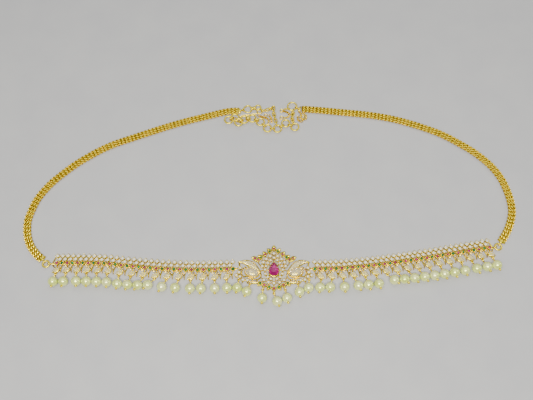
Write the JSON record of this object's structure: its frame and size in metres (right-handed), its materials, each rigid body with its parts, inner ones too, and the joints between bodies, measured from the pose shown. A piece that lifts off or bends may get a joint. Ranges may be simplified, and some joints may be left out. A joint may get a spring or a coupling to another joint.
{
  "type": "oddiyanam waist belt",
  "caption": "Jewelled waist belt: pierced gold medallion with a pear-cut stone, openwork bands with hanging pearls, woven chains, a hook and a ring chain behind.",
  "frame": {"origin": "on the flat back of the medallion, under its centre stone; the belt lies on the plane z = 0", "axes": "+X runs along the band to its right end, +Y from the band to the clasp as it lies, +Z stands off the surface"},
  "size_m": [0.3608, 0.1641, 0.007],
  "materials": {
    "gold": "polished gold plating",
    "ruby": "cut and polished",
    "emerald": "cut and polished",
    "white_stone": "cut and polished",
    "pearl": "pearl lustre, cream with a pale green-yellow tint"
  },
  "bodies": {
    "root": {"medallion_frame": "gold", "centre_ruby": "ruby", "medallion_white_stones": "white_stone", "medallion_rubies": "ruby", "medallion_emeralds": "emerald", "left_band": "gold", "right_band": "gold", "band_rubies": "ruby", "band_emeralds": "emerald", "left_pearl_pins": "gold", "medallion_pearl_pins": "gold", "right_pearl_pins": "gold", "left_mesh_chain": "gold", "right_mesh_chain": "gold", "end_rings": "gold", "hook_clasp": "gold", "hook_link_chain": "gold", "extension_chain": "gold", "clasp_link_chain": "gold", "loose_chain_ends": "gold", "left_pearl_1": "pearl", "left_pearl_2": "pearl", "left_pearl_3": "pearl", "left_pearl_4": "pearl", "left_pearl_5": "pearl", "left_pearl_6": "pearl", "left_pearl_7": "pearl", "left_pearl_8": "pearl", "left_pearl_9": "pearl", "left_pearl_10": "pearl", "left_pearl_11": "pearl", "left_pearl_12": "pearl", "left_pearl_13": "pearl", "left_pearl_14": "pearl", "left_pearl_15": "pearl", "left_pearl_16": "pearl", "medallion_pearl_1": "pearl", "medallion_pearl_2": "pearl", "medallion_pearl_3": "pearl", "medallion_pearl_4": "pearl", "medallion_pearl_5": "pearl", "medallion_pearl_6": "pearl", "medallion_pearl_7": "pearl", "right_pearl_1": "pearl", "right_pearl_2": "pearl", "right_pearl_3": "pearl", "right_pearl_4": "pearl", "right_pearl_5": "pearl", "right_pearl_6": "pearl", "right_pearl_7": "pearl", "right_pearl_8": "pearl", "right_pearl_9": "pearl", "right_pearl_10": "pearl", "right_pearl_11": "pearl", "right_pearl_12": "pearl", "right_pearl_13": "pearl", "right_pearl_14": "pearl", "right_pearl_15": "pearl", "right_pearl_16": "pearl", "right_pearl_17": "pearl"}
  },
  "joints": []
}
